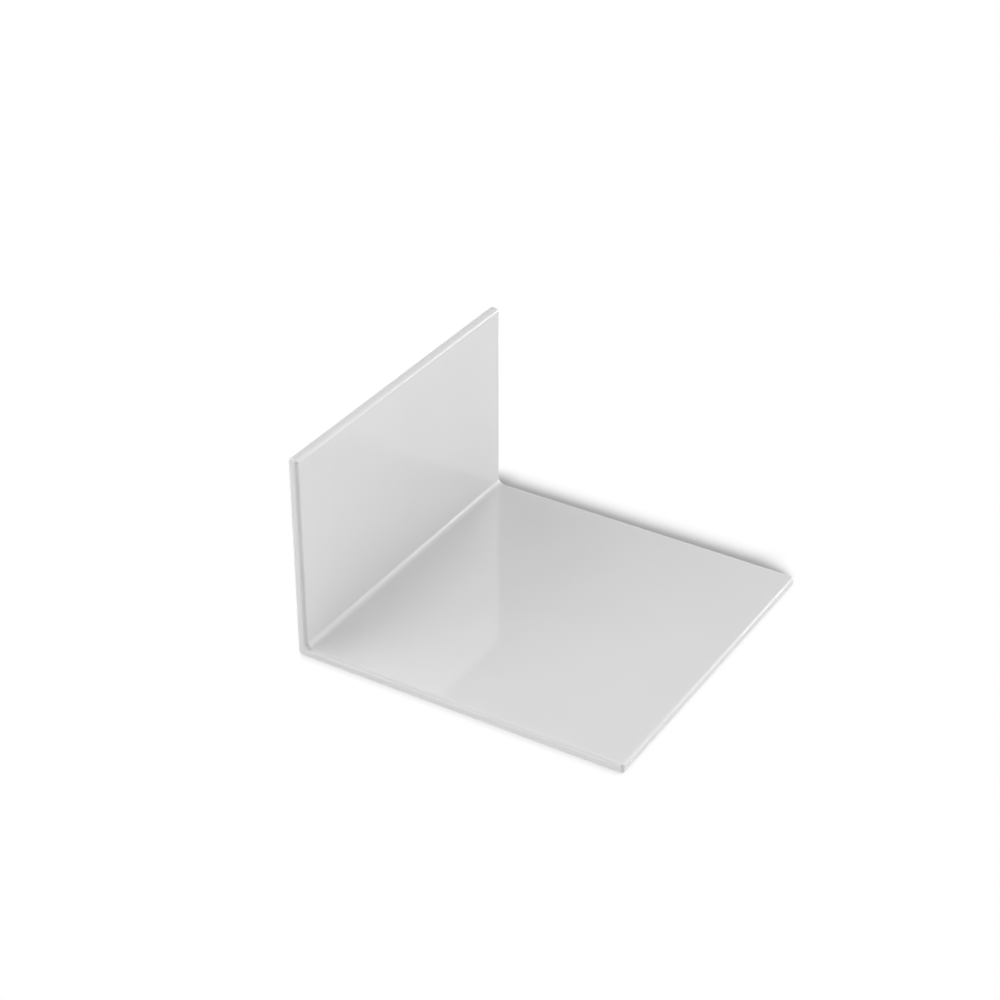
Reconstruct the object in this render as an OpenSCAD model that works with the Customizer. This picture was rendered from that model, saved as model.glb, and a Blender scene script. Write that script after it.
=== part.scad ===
// Glass retaining angle: one short length of unequal L section with softly rounded edges.
// X runs along the base leg, away from the upright. Y runs along the bend and Z points up.
// The origin is the middle of the underside of the base leg.

/* [Section] */
// Length of the base leg, from the back of the upright to the tip
base_leg = 65; // [40:1:120]
// Height of the upright leg, from the underside of the base to the tip
upright_leg = 40; // [25:1:100]
// Wall thickness of both legs
wall = 2; // [1.5:0.1:5]
// Radius of the outside corner between the legs
heel_radius = 1; // [0.8:0.1:2.5]
// Radius of the fillet in the inside corner, where the glass seats
root_radius = 1.2; // [0.5:0.1:4]

/* [Length] */
// Width of the cut piece, along the bend
width = 65; // [20:1:300]

/* [Edges] */
// Rounding of the tips of the legs and of both cut ends
edge_radius = 0.7; // [0.3:0.05:0.75]

/* [Hidden] */
$fn = 64;
finish = "whitesmoke";
// Centre lines of the edge rounding, measured from the outer face of a leg
outer_line = edge_radius;
inner_line = wall - edge_radius;
// Where the straight stretches of the inner faces begin, past the root fillet
root_end = wall + root_radius;

// What a square corner has beyond a round one, with the corner at the origin
module corner_web(radius) {
    difference() {
        square(radius);
        translate([radius, radius]) circle(radius);
    }
}

// One leg of the section, lying along X, with its two tip corners rounded
module leg(length, thickness, tip_radius) {
    square([length - tip_radius, thickness]);
    if (tip_radius > 0) {
        translate([length - tip_radius, tip_radius]) square([tip_radius, thickness - 2 * tip_radius]);
        for (height = [tip_radius, thickness - tip_radius])
            translate([length - tip_radius, height]) circle(tip_radius);
    }
}

// The L section, drawn in by inset on every side. Its heel corner is at the origin.
module section(inset) {
    thickness = wall - 2 * inset;
    tip_radius = edge_radius - inset;
    difference() {
        union() {
            translate([inset, inset]) leg(base_leg - 2 * inset, thickness, tip_radius);
            translate([inset, inset]) mirror([1, -1]) leg(upright_leg - 2 * inset, thickness, tip_radius);
            translate([wall - inset, wall - inset]) corner_web(root_radius + inset);
        }
        translate([inset, inset]) corner_web(heel_radius - inset);
    }
}

// Round bar between two points of the section
module bead_run(from, to) {
    step = to - from;
    translate([from.x, from.y, 0])
        rotate(atan2(step.y, step.x))
            rotate([0, 90, 0]) cylinder(h = norm(step), r = edge_radius);
}

// Quarter ring of the same round bar, about a centre that is as far from both legs
module bead_bend(centre, bend_radius) {
    translate([centre, centre, 0])
        rotate(180)
            rotate_extrude(angle = 90)
                intersection() {
                    translate([bend_radius, 0]) circle(edge_radius);
                    translate([0, -edge_radius]) square([bend_radius + edge_radius, 2 * edge_radius]);
                }
}

// Round bar along both faces of a leg that lies along X, and round its tip
module leg_bead(length) {
    tip = length - edge_radius;
    bead_run([heel_radius, outer_line], [tip, outer_line]);
    bead_run([root_end, inner_line], [tip, inner_line]);
    bead_run([tip, outer_line], [tip, inner_line]);
    for (line = [outer_line, inner_line])
        translate([tip, line, 0]) sphere(edge_radius);
}

// Round bar that follows the whole outline of the section and rounds off one cut end
module bead() {
    leg_bead(base_leg);
    mirror([1, -1, 0]) leg_bead(upright_leg);
    bead_bend(heel_radius, heel_radius - edge_radius);
    bead_bend(root_end, root_radius + edge_radius);
}

module angle() {
    color(finish)
        rotate([90, 0, 0]) translate([-base_leg / 2, 0, -width / 2]) {
            translate([0, 0, edge_radius]) linear_extrude(width - 2 * edge_radius) section(0);
            linear_extrude(width) section(edge_radius);
            for (end = [edge_radius, width - edge_radius])
                translate([0, 0, end]) bead();
        }
}

angle();
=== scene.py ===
"""Looks of the glass retaining angle: its gloss coat, the studio around it and the photograph's view."""

import math

import bpy
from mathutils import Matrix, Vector

MM = 0.001

# Camera of the photograph: azimuth 0 looks along +Y, and the target is a point in the part's frame
VIEW_AZIMUTH = math.radians(31.30)
VIEW_ELEVATION = math.radians(32.03)
VIEW_DISTANCE = 416.2 * MM
VIEW_TARGET = Vector((-10.75, 0, 21.62)) * MM
LENS_MM = 85
SENSOR_MM = 36
CLIP_START = 10 * MM

# Gloss powder coat: a nearly even white, with slow drifts of tone and gloss and a fine orange-peel ripple
COAT_DARK = 0.694
COAT_LIGHT = 0.706
TONE_PATCH = 16 * MM
ROUGHNESS_LOW = 0.055
ROUGHNESS_HIGH = 0.070
COAT_INDEX = 1.55
NOISE_RANGE = (0.3, 0.7)
PATCH_DETAIL = 2
RIPPLE_DETAIL = 1
GLOSS_PATCH = 5 * MM
RIPPLE_LENGTH = 1.4 * MM
RIPPLE_HEIGHT = 0.003 * MM

# Studio: soft lights, each with its azimuth from +X and its elevation in degrees, its sharpness and its
# strength, and a floor just under the part
LIGHTS = {
    "left_front_low": (-127, -10, 15, 13),
    "left_high": (-170, 48, 10, 2.7),
    "right_back_low": (57, 1, 45, 14),
    "right_back_high": (30, 46, 12, 3.8),
    "back_high": (108, 55, 130, 13.5),
}
WHITE = 1
FLOOR_SIZE = 6.0
FLOOR_DROP = 0.02 * MM
FLOOR_COLOUR = 0.95

# Soft shade on the floor: short rays look for the part, low to the right and front from the floor behind it,
# and up and back from the floor all round it, and the share that meets nothing is turned into brightness
SHADE_AREA = 75 * MM
BEHIND_FROM = (26 * MM, 33 * MM)
BEHIND_LOOK = (0.89, -0.42, -0.17)
BEHIND_REACH = 10 * MM
BEHIND_RAYS = 96
BEHIND_OPEN = (0.880, 0.957)
BEHIND_BRIGHT = (0.36, 1.0)
CONTACT_LOOK = (0.0, 0.5, 0.87)
CONTACT_REACH = 3 * MM
CONTACT_RAYS = 16
CONTACT_OPEN = (0.1, 0.62)
CONTACT_BRIGHT = (0.777, 1.0)


def node(tree, kind, **values):
    """New shader node with its inputs set: a socket is linked, and anything else is a default value."""
    made = tree.nodes.new(kind)
    for name, value in values.items():
        socket = made.inputs[name.replace("_", " ")]
        if isinstance(value, bpy.types.NodeSocket):
            tree.links.new(value, socket)
        else:
            socket.default_value = value
    return made


def maths(tree, operation, *values):
    """Output of a math node."""
    made = tree.nodes.new("ShaderNodeMath")
    made.operation = operation
    for socket, value in zip(made.inputs, values):
        if isinstance(value, bpy.types.NodeSocket):
            tree.links.new(value, socket)
        else:
            socket.default_value = value
    return made.outputs["Value"]


def grey(value):
    return (value, value, value, 1)


def patches(tree, position, size, low, high):
    """Smooth random value from low to high that drifts over patches of this size."""
    noise = node(tree, "ShaderNodeTexNoise", Vector=position, Scale=1 / size, Detail=PATCH_DETAIL)
    return node(
        tree, "ShaderNodeMapRange", Value=noise.outputs["Fac"],
        From_Min=NOISE_RANGE[0], From_Max=NOISE_RANGE[1], To_Min=low, To_Max=high,
    ).outputs["Result"]


def coat_material():
    """Smooth gloss powder coat."""
    material = bpy.data.materials.new("gloss_coat")
    material.use_nodes = True
    tree = material.node_tree
    shader = tree.nodes["Principled BSDF"]
    position = node(tree, "ShaderNodeTexCoord").outputs["Object"]
    tone = patches(tree, position, TONE_PATCH, COAT_DARK, COAT_LIGHT)
    tree.links.new(tone, shader.inputs["Base Color"])
    shader.inputs["IOR"].default_value = COAT_INDEX
    gloss = patches(tree, position, GLOSS_PATCH, ROUGHNESS_LOW, ROUGHNESS_HIGH)
    tree.links.new(gloss, shader.inputs["Roughness"])
    ripple = node(tree, "ShaderNodeTexNoise", Vector=position, Scale=1 / RIPPLE_LENGTH, Detail=RIPPLE_DETAIL)
    peel = node(tree, "ShaderNodeBump", Height=ripple.outputs["Fac"], Distance=RIPPLE_HEIGHT)
    tree.links.new(peel.outputs["Normal"], shader.inputs["Normal"])
    return material


def floor_shade(tree, look, reach, rays, open_range, bright_range):
    """Brightness of the floor from the share of short rays, spread round a direction, that meet nothing."""
    direction = node(tree, "ShaderNodeCombineXYZ", X=look[0], Y=look[1], Z=look[2])
    looking = node(tree, "ShaderNodeAmbientOcclusion", Distance=reach, Normal=direction.outputs["Vector"])
    looking.samples = rays
    return node(
        tree, "ShaderNodeMapRange", Value=looking.outputs["AO"],
        From_Min=open_range[0], From_Max=open_range[1], To_Min=bright_range[0], To_Max=bright_range[1],
    ).outputs["Result"]


def mix_shaders(tree, share, first, second):
    """Output of a shader mix: the first where the share is 0 and the second where it is 1."""
    mix = node(tree, "ShaderNodeMixShader", Fac=share)
    tree.links.new(first, mix.inputs[1])
    tree.links.new(second, mix.inputs[2])
    return mix.outputs["Shader"]


def floor_material():
    """White with the part's soft shade to the camera, white to reflections, and matt to other light."""
    material = bpy.data.materials.new("studio_floor")
    material.use_nodes = True
    tree = material.node_tree
    path = node(tree, "ShaderNodeLightPath").outputs
    contact = floor_shade(tree, CONTACT_LOOK, CONTACT_REACH, CONTACT_RAYS, CONTACT_OPEN, CONTACT_BRIGHT)
    behind = floor_shade(tree, BEHIND_LOOK, BEHIND_REACH, BEHIND_RAYS, BEHIND_OPEN, BEHIND_BRIGHT)
    white, front, back = (
        node(tree, "ShaderNodeEmission", Color=grey(1), Strength=strength).outputs["Emission"]
        for strength in (WHITE, contact, maths(tree, "MULTIPLY", contact, behind))
    )
    position = node(tree, "ShaderNodeTexCoord").outputs["Object"]
    along_y = node(tree, "ShaderNodeSeparateXYZ", Vector=position).outputs["Y"]
    share_behind = node(
        tree, "ShaderNodeMapRange", Value=along_y, From_Min=BEHIND_FROM[0], From_Max=BEHIND_FROM[1]
    ).outputs["Result"]
    distance = node(tree, "ShaderNodeVectorMath")
    distance.operation = "LENGTH"
    tree.links.new(position, distance.inputs[0])
    near = maths(tree, "LESS_THAN", distance.outputs["Value"], SHADE_AREA)
    shaded = maths(tree, "MULTIPLY", near, path["Is Camera Ray"])
    lit = mix_shaders(tree, shaded, white, mix_shaders(tree, share_behind, front, back))
    matt = node(tree, "ShaderNodeBsdfDiffuse", Color=grey(FLOOR_COLOUR))
    seen = maths(tree, "MAXIMUM", path["Is Camera Ray"], path["Is Glossy Ray"])
    seen = maths(tree, "MAXIMUM", seen, path["Is Transmission Ray"])
    surface = mix_shaders(tree, seen, matt.outputs["BSDF"], lit)
    tree.links.new(surface, tree.nodes["Material Output"].inputs["Surface"])
    material.cycles.emission_sampling = "NONE"
    return material


def make_floor():
    bpy.ops.mesh.primitive_plane_add(size=FLOOR_SIZE, location=(0, 0, -FLOOR_DROP))
    floor = bpy.context.object
    floor.name = "studio_floor"
    floor.data.materials.append(floor_material())


def make_camera():
    data = bpy.data.cameras.new("photo_camera")
    data.lens = LENS_MM
    data.sensor_width = SENSOR_MM
    data.clip_start = CLIP_START
    camera = bpy.data.objects.new("photo_camera", data)
    bpy.context.scene.collection.objects.link(camera)
    level = math.cos(VIEW_ELEVATION)
    towards_camera = Vector((
        math.sin(VIEW_AZIMUTH) * level,
        -math.cos(VIEW_AZIMUTH) * level,
        math.sin(VIEW_ELEVATION),
    ))
    camera.location = VIEW_TARGET + towards_camera * VIEW_DISTANCE
    camera.rotation_euler = (-towards_camera).to_track_quat("-Z", "Y").to_euler()
    bpy.context.scene.camera = camera


def make_light():
    """Sky with one soft spot for each light, brightest in its direction and fading all round."""
    world = bpy.data.worlds.new("studio")
    world.use_nodes = True
    tree = world.node_tree
    direction = node(tree, "ShaderNodeTexCoord").outputs["Generated"]
    total = None
    for azimuth, elevation, sharpness, strength in LIGHTS.values():
        azimuth, elevation = math.radians(azimuth), math.radians(elevation)
        level = math.cos(elevation)
        towards = (math.cos(azimuth) * level, math.sin(azimuth) * level, math.sin(elevation))
        facing = node(tree, "ShaderNodeVectorMath")
        facing.operation = "DOT_PRODUCT"
        tree.links.new(direction, facing.inputs[0])
        facing.inputs[1].default_value = towards
        fall = maths(tree, "MULTIPLY_ADD", facing.outputs["Value"], sharpness, -sharpness)
        spot = maths(tree, "MULTIPLY", maths(tree, "EXPONENT", fall), strength)
        total = spot if total is None else maths(tree, "ADD", total, spot)
    path = node(tree, "ShaderNodeLightPath").outputs
    white_to_camera = node(tree, "ShaderNodeMix", Factor=path["Is Camera Ray"])
    tree.links.new(total, white_to_camera.inputs["A"])
    white_to_camera.inputs["B"].default_value = WHITE
    background = tree.nodes["Background"]
    background.inputs["Color"].default_value = grey(1)
    tree.links.new(white_to_camera.outputs["Result"], background.inputs["Strength"])
    bpy.context.scene.world = world


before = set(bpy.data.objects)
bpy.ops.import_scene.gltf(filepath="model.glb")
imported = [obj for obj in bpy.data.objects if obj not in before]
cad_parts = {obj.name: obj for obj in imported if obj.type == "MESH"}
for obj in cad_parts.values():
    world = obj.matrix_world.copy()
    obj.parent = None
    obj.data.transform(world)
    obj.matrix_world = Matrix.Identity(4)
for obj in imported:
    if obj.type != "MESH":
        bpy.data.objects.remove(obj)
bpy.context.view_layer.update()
bpy.context.scene.view_settings.view_transform = "Standard"

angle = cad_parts["angle"]
angle.data.materials.clear()
angle.data.materials.append(coat_material())
make_floor()
make_light()
make_camera()
